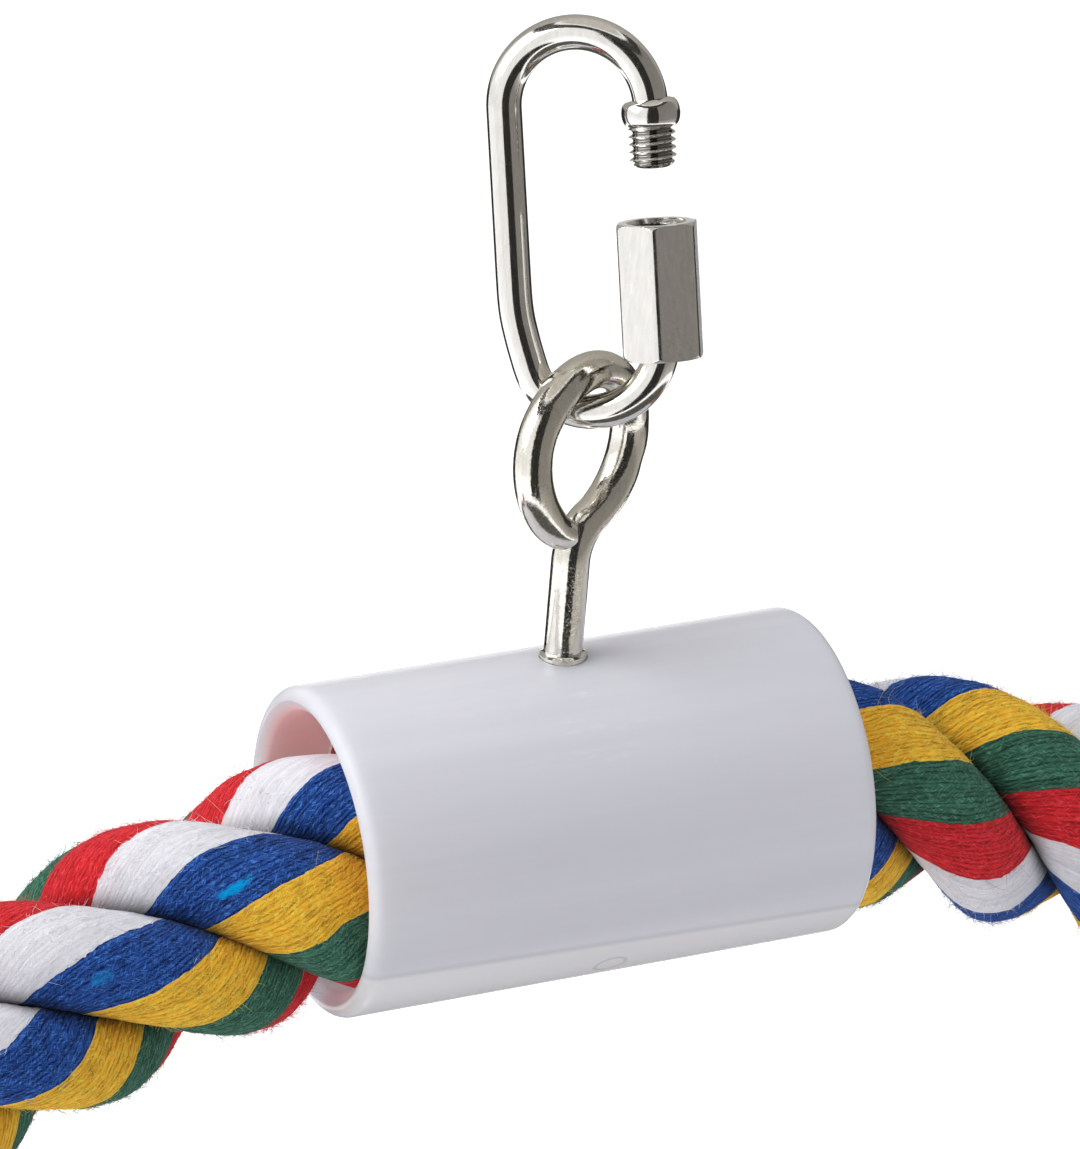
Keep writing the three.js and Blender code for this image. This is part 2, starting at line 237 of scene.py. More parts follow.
# %% Quick link
ROD, BOW, ARM_TOP = 1.75, 7.3, 30.1
STUB_END, ARM_END = 24.0, 16.1
THREAD_CREST, THREAD_DEPTH, THREAD_PITCH = 2.34, 0.46, 0.75
THREAD_TIP, THREAD_FLARE, THREAD_RUN_OUT = 1.45, 0.95, 1.6
COLLAR_BASE, COLLAR_HEIGHT, COLLAR_REACH, COLLAR_RIM = 28.0, 2.6, 2.9, 2.25
# The plain arm is set in near the lower bow: how far, at what height and over what spread
SET_IN, SET_PLACE, SET_SPREAD = 0.75, 5.6, 3.2
LINK_TURN, LINK_BACK, LINK_SIDE = -36, 10.5, 5.5
ROD_COLUMNS, STUB_ROWS, UPPER_ROWS, PLAIN_ROWS, LOWER_ROWS, THREADED_ROWS = 56, 130, 150, 30, 72, 150
link_lean = turned_by("Z", LINK_TURN) @ turned_by("X", -LINK_BACK)
link_roll = turned_by("Y", -LINK_SIDE)


def link_place(points):
    """Points of the upright link in the frame: rolled about the upper bow, hung from the seat and leaned."""
    rolled = (points - [0, 0, ARM_TOP]) @ link_roll.T
    return (rolled - [0, 0, BOW - ROD]) @ link_lean.T


def bow_arc(start, end, middle, steps):
    """Points of a half circle of the link's route about a middle height."""
    angle = np.linspace(start, end, steps)
    return np.stack([BOW * np.cos(angle), 0 * angle, middle + BOW * np.sin(angle)], -1)


def arm_line(side, low, high, steps):
    """Points of a straight arm between two heights."""
    height = np.linspace(low, high, steps)
    return np.stack([0 * height + side, 0 * height, height], -1)


def rod_thread(height, from_end):
    """Radius of the link's thread, narrowed in the last millimetre before the rod's end."""
    cone = THREAD_TIP + THREAD_FLARE * np.clip(from_end, 0, 1)[:, None] ** 0.5
    return np.minimum(thread(height, ROD_COLUMNS, THREAD_CREST, THREAD_DEPTH, THREAD_PITCH), cone)


def link_rod():
    """The rod's route and radius: stub and bead, upper bow, plain arm, lower bow, threaded arm. Gives the
    points, and how deep each lies in the stub's thread."""
    stub = arm_line(BOW, STUB_END, ARM_TOP, STUB_ROWS)
    upper = bow_arc(0, np.pi, ARM_TOP, UPPER_ROWS)[1:]
    plain = arm_line(-BOW, ARM_TOP, BOW, PLAIN_ROWS)[1:]
    lower = bow_arc(np.pi, TURN, BOW, LOWER_ROWS)[1:]
    threaded = arm_line(BOW, BOW, ARM_END, THREADED_ROWS)[1:]
    path = np.concatenate([stub, upper, plain, lower, threaded])
    path[:, 0] += SET_IN * hill(path[:, 2], SET_PLACE, SET_SPREAD) * (path[:, 0] < 0)
    radius = np.full((len(path), ROD_COLUMNS), ROD)
    length = STUB_END + length_along(path)
    across_bead = (length - COLLAR_BASE) / (COLLAR_HEIGHT / 2) - 1
    bead = np.abs(across_bead) <= 1
    radius[bead] = COLLAR_RIM + (COLLAR_REACH - COLLAR_RIM) * np.sqrt(1 - across_bead[bead, None] ** 2)
    cut = length < COLLAR_BASE
    radius[cut] = rod_thread(length[cut], length[cut] - STUB_END)
    height = threaded[:, 2]
    run_out = np.clip((height - BOW) / THREAD_RUN_OUT, 0, 1)[:, None]
    radius[-len(threaded):] = ROD + (rod_thread(height, ARM_END - height) - ROD) * run_out
    groove = np.clip((THREAD_CREST - radius) / THREAD_DEPTH, 0, 1) * cut[:, None]
    return link_place(carried(path, np.array([0, 1, 0]), radius)), groove


link_mesh = solid_rod("link_rod", *link_rod())
link_piece = place_piece("link_rod", link_mesh, "link", ["quick_link"], 45)

# %% [markdown]
# The nut is a long hexagon with a screw thread inside. Its outline is a sum over six faces: raising each
# face's share to a high power and adding them gives a hexagon whose corners are slightly round, as on bar
# stock. Both ends are turned off, so every face ends in two rounded corners.

# %% Nut of the link
NUT_TOP, NUT_LENGTH, NUT_FLATS, NUT_TURN = 18.6, 13.4, 7.6, 6
NUT_BORE, NUT_EDGE, NUT_SHOULDER = 2.5, 1.0, 3.86
MOUTH_FLARE, MOUTH_SLOPE, MOUTH_DEPTH = 0.45, 0.75, 0.6
CORNER_POWER = 24
NUT_COLUMNS, EDGE_ROWS, SIDE_ROWS, NUT_BORE_ROWS = 192, 10, 8, 150


def nut_rim(columns):
    """Reach of a rounded hexagon: half the flats over the joint length of the six faces' shares."""
    faces = np.radians(NUT_TURN + 60 * np.arange(6))
    share = np.clip(np.cos(around(columns)[:, None] - faces), 0, None)
    return NUT_FLATS / 2 / (share ** CORNER_POWER).sum(1) ** (1 / CORNER_POWER)


def link_nut():
    """Rows up the outside, over the top, down the threaded bore and back along the bottom. Gives the points,
    the faces and which points lie in the thread."""
    low = NUT_TOP - NUT_LENGTH
    edge = NUT_EDGE * (1 - np.cos(np.linspace(0, np.pi / 2, EDGE_ROWS)))
    sides = np.linspace(low + NUT_EDGE, NUT_TOP - NUT_EDGE, SIDE_ROWS)[1:-1]
    outside = np.concatenate([low + edge, sides, NUT_TOP - edge[::-1]])
    depth = np.clip(np.minimum(outside - low, NUT_TOP - outside), 0, NUT_EDGE) / NUT_EDGE
    limit = NUT_SHOULDER + (NUT_FLATS / np.sqrt(3) - NUT_SHOULDER) * np.sqrt(1 - (1 - depth) ** 2)
    outer = np.minimum(nut_rim(NUT_COLUMNS), limit[:, None])
    bore = np.linspace(NUT_TOP, low, NUT_BORE_ROWS)
    inner = thread(bore, NUT_COLUMNS, NUT_BORE + THREAD_DEPTH, THREAD_DEPTH, THREAD_PITCH)
    mouth = np.clip(np.minimum(NUT_TOP - bore, bore - low), 0, MOUTH_DEPTH)[:, None]
    inner = np.maximum(inner, NUT_BORE + MOUTH_FLARE - MOUTH_SLOPE * mouth)
    lip = (outer[-1] + inner[0]) / 2
    radius = np.concatenate([outer, lip[None], inner, lip[None]])
    height = np.concatenate([outside, [NUT_TOP], bore, [low]])[:, None]
    angle = around(NUT_COLUMNS)
    points = np.stack([BOW + radius * np.cos(angle), radius * np.sin(angle), height + 0 * radius], -1)
    groove = (radius < NUT_BORE + THREAD_DEPTH) * np.clip(NUT_TOP - height, 0, 1)
    return link_place(points.reshape(-1, 3)), grid_faces(len(height), NUT_COLUMNS, ring=True), groove


nut_points, nut_faces, nut_groove = link_nut()
nut_mesh = build_mesh("hex_nut", nut_points, [nut_faces], groove=nut_groove)
nut_piece = place_piece("hex_nut", nut_mesh, "nut", ["link_nut"], 35)

# %% [markdown]
# The eye bolt is a piece of wire: a threaded shank that goes down through the sleeve, and an eye bent from
# its upper end. The bender's jaws left small flats and dents, and the cut end is pinched. Those are dips
# in the radius, each a soft hill in two directions, along the wire and around it.

# %% Eye bolt
SLEEVE_RADIUS = (sleeve_high[2] - sleeve_low[2]) / 2
BOLT_CREST, BOLT_DEPTH, BOLT_PITCH, BOLT_FOOT = 2.35, 0.4, 0.8, 0.5
BOLT_TIP, TIP_SLOPE = 1.6, 1.2
SHANK_RISE, RIM_RISE, RIM_DROP = 0.8, 0.35, 0.4
EYE_WIRE, EYE_RADIUS, EYE_NECK, EYE_RISE = 1.95, 8.3, 4.2, 30.3
EYE_TURN, EYE_LEAN, EYE_SET, EYE_SET_START, FIT_GAP = 30, 4.5, 1.5, 0.68, 0.3
PINCH, PINCH_LENGTH, END_ROUND, END_FLAT = 0.16, 3.0, 1.1, 0.12
BOLT_COLUMNS, BOLT_ROWS, SHANK_ROWS, NECK_ROWS, EYE_ROWS = 48, 430, 30, 24, 150
# Dents: place along the wire and its spread in mm, place around it and its spread in radians, depth in mm
DENTS = [
    (22.0, 0.9, 2.4, 0.5, 0.16), (25.5, 0.7, 1.7, 0.4, 0.14), (31.0, 1.6, 2.8, 0.5, 0.07),
    (58.0, 1.2, 1.2, 0.6, 0.10), (60.5, 0.8, 2.4, 0.5, 0.14), (62.0, 1.0, 0.4, 0.5, 0.12),
]


def eye_route():
    """Flat route of the wire: up the shank, round the neck's bend, then round the ring to the cut end."""
    apart = EYE_RADIUS + EYE_NECK
    bend = np.arccos(EYE_NECK / apart)
    near = EYE_NECK + 2 * EYE_WIRE + FIT_GAP
    opening = np.arccos((EYE_RADIUS**2 + apart**2 - near**2) / (2 * EYE_RADIUS * apart))
    middle = SLEEVE_RADIUS + EYE_RISE - EYE_RADIUS
    start = middle - apart * np.sin(bend)
    shank = np.linspace(SLEEVE_RADIUS + SHANK_RISE, start, SHANK_ROWS)
    neck = np.linspace(0, bend, NECK_ROWS)[1:]
    ring = np.linspace(-bend, TURN - opening - bend, EYE_ROWS)[1:]
    side = np.concatenate([0 * shank, EYE_NECK * (1 - np.cos(neck)), EYE_RADIUS * np.cos(ring)])
    height = np.concatenate([shank, start + EYE_NECK * np.sin(neck), middle + EYE_RADIUS * np.sin(ring)])
    progress = (ring - ring[0]) / (ring[-1] - ring[0])
    set_off = EYE_SET * eased((progress - EYE_SET_START) / (1 - EYE_SET_START))
    return side, np.concatenate([0 * shank, 0 * neck, set_off]), height


def eye_bolt():
    """The leaned eye over an upright thread, with dents and a pinched end taken off the wire's radius."""
    side, forward, height = eye_route()
    across = turned_by("Z", EYE_TURN) @ [1, 0, 0]
    front = np.cross(across, [0, 0, 1])
    foot = np.array([0, 0, SLEEVE_RADIUS + SHANK_RISE])
    hinge = turned_by("Z", LINK_TURN) @ [0, 1, 0]
    upright = side[:, None] * across + forward[:, None] * front + height[:, None] * [0, 0, 1] - foot
    leaned = upright @ turned_by(Vector(hinge), EYE_LEAN).T + foot
    low = np.linspace(BOLT_FOOT - SLEEVE_RADIUS, foot[2], BOLT_ROWS)[:-1]
    path = np.concatenate([np.stack([0 * low, 0 * low, low], -1), leaned])
    radius = np.full((len(path), BOLT_COLUMNS), EYE_WIRE)
    rolled = thread(low, BOLT_COLUMNS, BOLT_CREST, BOLT_DEPTH, BOLT_PITCH)
    above = np.clip((low - SLEEVE_RADIUS - RIM_RISE) / (SHANK_RISE - RIM_RISE), 0, 1)
    rim = EYE_WIRE + (BOLT_CREST - EYE_WIRE) * (1 - above) ** 2
    top = low > SLEEVE_RADIUS - RIM_DROP
    rolled[top] = rim[top, None]
    radius[:len(low)] = np.minimum(rolled, BOLT_TIP + TIP_SLOPE * (low - low[0])[:, None])
    length = length_along(leaned)
    angle = around(BOLT_COLUMNS)
    wire = radius[len(low):]
    for place, spread, turn, width, depth in DENTS:
        turned = np.angle(np.exp(1j * (angle - turn)))
        wire -= depth * hill(length, place, spread)[:, None] * hill(turned, 0, width)
    left = length[-1] - length
    pinch = PINCH * hill(left, 0, PINCH_LENGTH)[:, None] * np.cos(angle) ** 2
    rounded = np.sqrt(1 - (1 - np.clip(left / END_ROUND + END_FLAT, 0, 1)) ** 2)
    wire *= (1 - pinch) * rounded[:, None]
    return sleeve_middle + carried(path, front, radius)


bolt_mesh = solid_rod("eye_wire", eye_bolt())
bolt_piece = place_piece("eye_wire", bolt_mesh, "swing", ["eye_bolt"], 50)

# %% [markdown]
# The joiner sleeve is a cut length of plastic pipe. Its wall is a closed outline turned about the pipe's
# own line: out along the outside, round the soft rim, and back through the bore with its bevelled mouths.
# The bolt's two holes are cut with a Boolean, which is applied at once so that the mesh stays plain.

# %% Joiner sleeve
SLEEVE_WALL, SLEEVE_ROUND, SLEEVE_BEVEL, BEVEL_POWER = 2.5, 1.3, 1.1, 1.5
SLEEVE_COLUMNS, RIM_ROWS, BEVEL_ROWS, OUTSIDE_ROWS, BORE_ROWS = 160, 10, 6, 60, 28
HOLE_RADIUS, DRILL_REACH, DRILL_COLUMNS = 2.45, 30, 64
BORE_RADIUS = SLEEVE_RADIUS - SLEEVE_WALL
sleeve_half = (sleeve_high[0] - sleeve_low[0]) / 2


def turned_about_x(outline, columns):
    """A closed outline of [radius, place] turned about X through the sleeve's middle."""
    angle = around(columns)
    radius, place = outline[:, :1], outline[:, 1:]
    points = np.stack([place + 0 * angle, radius * np.cos(angle), radius * np.sin(angle)], -1)
    return sleeve_middle + points.reshape(-1, 3)


def sleeve_outline():
    """Outside, rounded rim, bevel and bore of the pipe wall, as one closed line."""
    bend = np.linspace(0, np.pi / 2, RIM_ROWS)
    rim = np.stack([SLEEVE_RADIUS - SLEEVE_ROUND * (1 - np.cos(bend)),
                    sleeve_half - SLEEVE_ROUND * (1 - np.sin(bend))], -1)
    slope = np.linspace(0, 1, BEVEL_ROWS)
    soft = SLEEVE_BEVEL * (1 - slope) ** BEVEL_POWER
    bevel = np.stack([BORE_RADIUS + soft, sleeve_half - SLEEVE_BEVEL * slope], -1)
    outside = np.linspace(-sleeve_half + SLEEVE_ROUND, sleeve_half - SLEEVE_ROUND, OUTSIDE_ROWS + 2)[1:-1]
    inside = np.linspace(sleeve_half - SLEEVE_BEVEL, -sleeve_half + SLEEVE_BEVEL, BORE_ROWS + 2)[1:-1]
    run = np.stack([0 * outside + SLEEVE_RADIUS, outside], -1)
    bore = np.stack([0 * inside + BORE_RADIUS, inside], -1)
    return np.concatenate([run, rim, bevel, bore, bevel[::-1] * [1, -1], rim[::-1] * [1, -1]])


outline = sleeve_outline()
sleeve_mesh = build_mesh("pipe_sleeve", turned_about_x(outline, SLEEVE_COLUMNS),
                         [grid_faces(len(outline), SLEEVE_COLUMNS, ring=True)])
drill_line = np.array([[0, 0, -DRILL_REACH], [0, 0, DRILL_REACH]])
drill_skin = carried(drill_line, np.array([0, 1, 0]), np.full((2, DRILL_COLUMNS), HOLE_RADIUS))
drill = into_scene("drill", solid_rod("drill", sleeve_middle + drill_skin))
blank = into_scene("blank", sleeve_mesh)
holes = blank.modifiers.new("holes", "BOOLEAN")
holes.operation, holes.solver, holes.object = "DIFFERENCE", "EXACT", drill
drilled = bpy.data.meshes.new_from_object(blank.evaluated_get(bpy.context.evaluated_depsgraph_get()))
drilled.name = "drilled_sleeve"
for tool in (drill, blank):
    bpy.data.objects.remove(tool)
sleeve_piece = place_piece("pipe_sleeve", drilled, "swing", ["joiner_sleeve"], 32)

# %% [markdown]
# The rope has three strands laid round each other to the right. Inside a strand the yarns are twisted the
# other way, so on the outside they run almost straight along the rope. Each strand has five bands of
# colour. A skin whose columns follow the yarns is the honest way to make it: the bands then follow the
# columns, and one UV map can count the yarns.

# %% Rope ring
RING_RADIUS, ROPE_RADIUS = 140.7, 11.8
LAY_TURNS, LAY_PHASE = 17, np.radians(70.5)
LOBE_RADIUS, CREASE_ROUND, STRAND_GAP, STRAND_HEART = 6.4, 1.6, 0.02, 2.2
LOBE_STEPS, CREASE_STEPS, RIM_STEPS = 90, 40, 1200
YARN_TURNS, YARN_START = 41, 0.14
YARNS, YARN_WIDTH, STRAND_COLUMNS, CROWDING = 62, 0.5, 165, 0.4
# Slip of each strand's yarns near the right cut end: how far, where and over how many turns of the lay
SLIP = np.array([0.34, -0.32, -0.30])
SLIP_PLACE = np.array([1.2, 0.55, 0.65])
SLIP_SPREAD = np.array([0.65, 1.2, 1.2])
# Distances from the rope's middle line at which a crease is darkest and at which it ends
CREASE_LOW, CREASE_HIGH = 7.0, 8.8
# Bulge at the left mouth: its height, its place and spread in degrees, and the side reach where it is full
BULGE, BULGE_PLACE, BULGE_SPREAD, BULGE_SIDE = 3.0, 349.5, 4.0, 6.0
SWELL, SWELL_LENGTH, SWELL_FLANK = 0.42, 5.0, 0.3
# Waves of a strand's skin: height in mm, waves round the ring and round the strand, shift between strands
WAVES = [(0.06, 23, 0, 2), (0.05, 61, 0, 1), (0.04, 41, 7, 1)]
DRIFT_DEGREES = [0, 12, 28, 45, 90, 270, 315, 332, 340, 346, 348.5, 360]
DRIFT = [0, 0, 0.9, 1.2, 0, 0, 1.2, 0.9, -0.2, -0.6, 0, 0]
ROPE_END, CLOSE_SPAN = np.radians(4.93), np.radians(32)
CLOSE_ROWS, FAR_ROWS = 92, 400
sagitta = (2 * sleeve_half) ** 2 / (8 * RING_RADIUS)
ring_top = sagitta - (BORE_RADIUS - ROPE_RADIUS - FIT_GAP)
ring_middle = sleeve_middle + [0, 0, ring_top - RING_RADIUS]


def strand_outline():
    """Half a strand's section and its mirror image: a round lobe, a small bend into the crease, a flat wall
    against the next strand and a flat heart. Yarns crowd on the outside, so a share of the rim counts more
    there. Gives each share of the rim, its point and its normal."""
    middle = ROPE_RADIUS - LOBE_RADIUS
    third = TURN / 6
    reach = LOBE_RADIUS - CREASE_ROUND
    lobe_end = np.arccos((CREASE_ROUND + STRAND_GAP - middle * np.sin(third)) / reach) - third / 2
    lobe = np.linspace(0, lobe_end, LOBE_STEPS)
    small = np.linspace(lobe_end, third / 2 * 5, CREASE_STEPS)[1:]
    knee = reach * np.array([np.cos(lobe_end), np.sin(lobe_end)]) + [middle, 0]
    round_part = np.stack([middle + LOBE_RADIUS * np.cos(lobe), LOBE_RADIUS * np.sin(lobe)], -1)
    bend_part = knee + CREASE_ROUND * np.stack([np.cos(small), np.sin(small)], -1)
    heart = STRAND_HEART * np.array([[np.cos(third), np.sin(third)], [np.cos(third), 0]])
    half = np.concatenate([round_part, bend_part, heart])
    loop = np.concatenate([half, half[-2::-1] * [1, -1]])
    from_middle = np.linalg.norm(loop[1:] + loop[:-1], axis=1) / 2
    yarns = np.linalg.norm(np.diff(loop, axis=0), axis=1) * (from_middle / ROPE_RADIUS) ** CROWDING
    length = np.concatenate([[0], np.cumsum(yarns)])
    share = np.linspace(0, 1, RIM_STEPS, endpoint=False)
    point = np.stack([np.interp(share * length[-1], length, loop[:, i]) for i in (0, 1)], -1)
    step = unit(np.roll(point, -1, 0) - np.roll(point, 1, 0))
    return share, point, np.stack([step[:, 1], -step[:, 0]], -1)


rim_share, rim_point, rim_normal = strand_outline()


def on_rim(table, share):
    """A column of the section's table read at any share of the rim."""
    return np.interp(share, rim_share, table, period=1)


def drift(angle):
    """How far the rope's middle line lies outside the true ring: it dips at the left mouth and then runs
    flatter than the ring on both sides."""
    return np.interp(np.degrees(angle) % 360, DRIFT_DEGREES, DRIFT)


def on_rope(angle, out, side):
    """A point beside the rope's middle line: outwards from the ring's middle and sideways along Y."""
    reach = RING_RADIUS + out + drift(angle)
    return ring_middle + np.stack([reach * np.sin(angle), side, reach * np.cos(angle)], -1)


def yarn_step(number, angle):
    """How far the yarns of a strand have turned round its section. The turn is even along the rope, with a
    slip near the right cut end, where the strands have opened a little: a soft hill over the turns."""
    turns = angle / TURN
    slip = SLIP[number] * hill(LAY_TURNS * turns, SLIP_PLACE[number], SLIP_SPREAD[number])
    return number / 3 + YARN_TURNS * turns + YARN_START + slip


def swell(angle):
    """How much the rope widens where it leaves the tight sleeve: a smooth step past the sleeve's mouth."""
    past = (RING_RADIUS * np.abs(np.sin(angle)) - sleeve_half) / SWELL_LENGTH
    return SWELL * eased(np.where(np.cos(angle) < 0, 1, past))


def on_strand(number, angle, band, lift=0.0):
    """A point of one strand. The angle goes round the ring from its top, and band is the yarn, from 0 to 1.
    The yarn turns round the strand's section as the strand turns round the rope; lift raises it off the skin.
    The first strand's lower flank bulges at the left mouth, where it fills the bore."""
    share = yarn_step(number, angle) - band
    outward = on_rim(rim_normal[:, 0], share)
    side = on_rim(rim_point[:, 1], share)
    near_mouth = hill(np.degrees(angle), BULGE_PLACE, BULGE_SPREAD) * (number == 0)
    bulge = BULGE * near_mouth * np.clip(-side / BULGE_SIDE, 0, 1)
    lift = lift + swell(angle) * np.clip(outward + SWELL_FLANK, 0, 1) + bulge
    out = on_rim(rim_point[:, 0], share) + lift * outward
    side = side + lift * on_rim(rim_normal[:, 1], share)
    lay = LAY_PHASE - LAY_TURNS * angle + TURN * number / 3
    return on_rope(angle, out * np.cos(lay) - side * np.sin(lay), out * np.sin(lay) + side * np.cos(lay))


def strand_angles():
    """Row angles round the ring, close together near the sleeve and wider apart elsewhere."""
    near = np.linspace(ROPE_END, CLOSE_SPAN, CLOSE_ROWS)
    far = np.linspace(CLOSE_SPAN, TURN - CLOSE_SPAN, FAR_ROWS)[1:-1]
    return np.concatenate([near, far, TURN - near[::-1]])


def cotton_strand(number):
    """A strand's uneven skin, its closed ends, UVs of yarn number and length in millimetres, and for every
    point how deep it lies in a crease."""
    angle = strand_angles()[:, None]
    band = np.arange(STRAND_COLUMNS) / STRAND_COLUMNS
    uneven = sum(height * np.sin(long * angle + wide * TURN * band + shift * number)
                 for height, long, wide, shift in WAVES)
    points = on_strand(np.full(angle.shape, number), angle, band, uneven)
    left = np.broadcast_to(band * YARNS, (len(angle) - 1, STRAND_COLUMNS))
    right = left + YARNS / STRAND_COLUMNS
    length = np.broadcast_to(angle * RING_RADIUS, (len(angle), STRAND_COLUMNS))
    u = np.stack([left, right, right, left], -1)
    v = np.stack([length[:-1], length[:-1], length[1:], length[1:]], -1)
    from_middle = on_rim(np.linalg.norm(rim_point, axis=1), yarn_step(number, angle) - band)
    crease = np.clip((CREASE_HIGH - from_middle) / (CREASE_HIGH - CREASE_LOW), 0, 1)
    mesh = solid_rod(f"cotton_strand_{number + 1}", points, crease, 1, np.stack([u, v], -1))
    return place_piece(mesh.name, mesh, "swing", [f"rope_strand_{number + 1}"])


strand_pieces = [cotton_strand(number) for number in range(3)]

# %% [markdown]
# Each cut rope end inside the sleeve is bound with cloth tape. The band is wound in a flat spiral, so its
# outside rises by the tape's own thickness at every turn and steps down where a turn ends.

# %% Tape round the rope ends
TAPE_INNER, TAPE_OUTER, TAPE_LENGTH = ROPE_RADIUS + FIT_GAP, 12.62, 8.0
TAPE_STEP, TAPE_WINDS = 0.1, 2.5
TAPE_COLUMNS, TAPE_ROWS = 96, 33


def end_tape(name, side):
    """A closed band along the ring: the outside with its spiral steps, then the inside on the way back."""
    place = np.linspace(0, 1, TAPE_ROWS)
    turn = around(TAPE_COLUMNS)
    outer = TAPE_OUTER - TAPE_STEP * ((TAPE_WINDS * place[:, None] - turn / TURN) % 1)
    radius = np.concatenate([outer, np.full((2, TAPE_COLUMNS), TAPE_INNER)])
    angle = ROPE_END + np.concatenate([place, [1, 0]]) * TAPE_LENGTH / RING_RADIUS
    angle = (side * angle)[:, None] + 0 * turn
    points = on_rope(angle, radius * np.cos(-side * turn), radius * np.sin(-side * turn))
    mesh = build_mesh(name, points.reshape(-1, 3), [grid_faces(TAPE_ROWS + 2, TAPE_COLUMNS, ring=True)])
    return place_piece(name, mesh, "swing", [f"rope_{name}"], 40)


tape_pieces = [end_tape("end_tape_left", -1), end_tape("end_tape_right", 1)]

# %% [markdown]
# Cotton rope is never clean at its edge: loose fibres stand off it. They are thin three-sided hairs that
# curl as they rise, with their roots spread over the strands by a seeded random draw. Each keeps the UV of
# its root, so it takes the colour of its own yarn.

# %% Loose fibres
FIBRES, FIBRE_POINTS, FIBRE_RADIUS, FIBRE_TIP = 9500, 4, 0.023, 0.35
OUTER_SHARE, SLEEVE_CLEAR = 0.27, 2.0
REACH_SHAPE, REACH_SCALE, REACH_LEAST, REACH_MOST = 1.4, 0.45, 0.3, 3.5
RISE_POWER, RISE_LEAST, LIFT_POWER = 1.6, 0.05, 1.5
SWING_SPREAD, CURL_SPREAD, CURL_RISE = 0.9, 0.22, 0.5
SWIRL_LEAST, SWIRL_MOST = 1.5, 3.5
AHEAD = 1e-3
OBLIQUE = [0.31, 0.52, 0.79]
rng = np.random.default_rng(7)


def fibre_roots(first, last):
    """Random roots: strand, angle and yarn, kept to the outer lobe and out of the sleeve."""
    number = rng.integers(0, 3, FIBRES)
    angle = rng.uniform(first, last, FIBRES)
    share = rng.uniform(-OUTER_SHARE, OUTER_SHARE, FIBRES)
    band = (yarn_step(number, angle) - share) % 1
    return number, angle, band


def fibre_lines(number, angle, band):
    """Middle lines of hairs that leave their root along the yarn and lift off it on a curve."""
    one_each = (FIBRES, 1)
    root = on_strand(number, angle, band)
    normal = on_strand(number, angle, band, 1.0) - root
    ahead = unit(on_strand(number, angle + AHEAD, band) - root)
    beside = np.cross(normal, ahead)
    reach = rng.gamma(REACH_SHAPE, REACH_SCALE, FIBRES)[:, None].clip(REACH_LEAST, REACH_MOST)
    rise = (rng.random(one_each) ** RISE_POWER + RISE_LEAST) * reach
    swing = rng.normal(0, SWING_SPREAD, one_each)
    curl = rng.normal(0, CURL_SPREAD, one_each) * reach
    swirl = rng.uniform(SWIRL_LEAST, SWIRL_MOST, one_each)
    way = unit(ahead * rng.choice([-1, 1], one_each) + swing * beside)
    bow = np.cross(normal, way)
    step = np.linspace(0, 1, FIBRE_POINTS)[:, None, None]
    bent = np.sin(swirl * step) * curl * bow + (1 - np.cos(swirl * step)) * np.abs(curl) * CURL_RISE * normal
    line = root + step * reach * way + step**LIFT_POWER * rise * normal + bent
    return np.moveaxis(line, 0, 1)


def loose_fibres(name, first, last):
    """Hairs as thin three-sided tubes that narrow to their tips, each with the UV of its root."""
    number, angle, band = fibre_roots(first, last)
    line = fibre_lines(number, angle, band)
    along = unit(np.gradient(line, axis=1))
    second = unit(np.cross(along, OBLIQUE))
    third = np.cross(along, second)
    turn = around(3)[:, None]
    thin = FIBRE_RADIUS * np.linspace(1, FIBRE_TIP, FIBRE_POINTS)[:, None, None]
    spread = np.cos(turn) * second[..., None, :] + np.sin(turn) * third[..., None, :]
    points = line[..., None, :] + thin * spread
    corners = FIBRE_POINTS * 3
    first_corner = np.arange(FIBRES)[:, None, None] * corners
    sides = grid_faces(FIBRE_POINTS, 3)
    ends = np.array([[0, 2, 1], [corners - 3, corners - 2, corners - 1]])
    faces = [(first_corner + sides).reshape(-1, 4), (first_corner + ends).reshape(-1, 3)]
    root_uv = np.stack([band * YARNS, angle * RING_RADIUS], -1)
    uv = np.concatenate([np.repeat(root_uv, sides.size, 0), np.repeat(root_uv, ends.size, 0)])
    mesh = build_mesh(name, points.reshape(-1, 3), faces, uv)
    return place_piece(name, mesh, "swing", [])


mouth_angle = np.arcsin((sleeve_half + SLEEVE_CLEAR) / RING_RADIUS)
fibre_pieces = [
    loose_fibres("fibres_right", mouth_angle, CLOSE_SPAN),
    loose_fibres("fibres_left", TURN - CLOSE_SPAN, TURN - mouth_angle),
    loose_fibres("fibres_far", CLOSE_SPAN, TURN - CLOSE_SPAN),
]

# %% [markdown]
# Finishes start from one helper that adds a node, sets its options and fills its inputs: an input is
# linked where it gets a socket, and set where it gets a value. The other helpers find the tree from the
# sockets they get. Every finish is a Principled shader whose plain values sit on its own sockets, while
# colour, roughness and relief come from the nodes before it.

# %% Helpers for finishes
# Numbers of the colour sockets on a Mix node
MIX_SHARE, MIX_FIRST, MIX_SECOND, MIX_RESULT = 0, 6, 7, 2


def add(tree, kind, inputs=None, **options):
    """A new node of a tree with its options set and its inputs linked or set."""
    made = tree.nodes.new("ShaderNode" + kind)
    for name, value in options.items():
        setattr(made, name, value)
    for name, value in (inputs or {}).items():
        if isinstance(value, bpy.types.NodeSocket):
            tree.links.new(value, made.inputs[name])
        else:
            made.inputs[name].default_value = value
    return made


def tree_of(*values):
    """The tree of the first socket among some values."""
    return next(value.id_data for value in values if isinstance(value, bpy.types.NodeSocket))


def maths(operation, *values):
    """A Math node's result."""
    return add(tree_of(*values), "Math", dict(enumerate(values)), operation=operation).outputs[0]


def times(first, second):
    """Two values multiplied."""
    return maths("MULTIPLY", first, second)


def plus(first, second):
    """Two values added."""
    return maths("ADD", first, second)


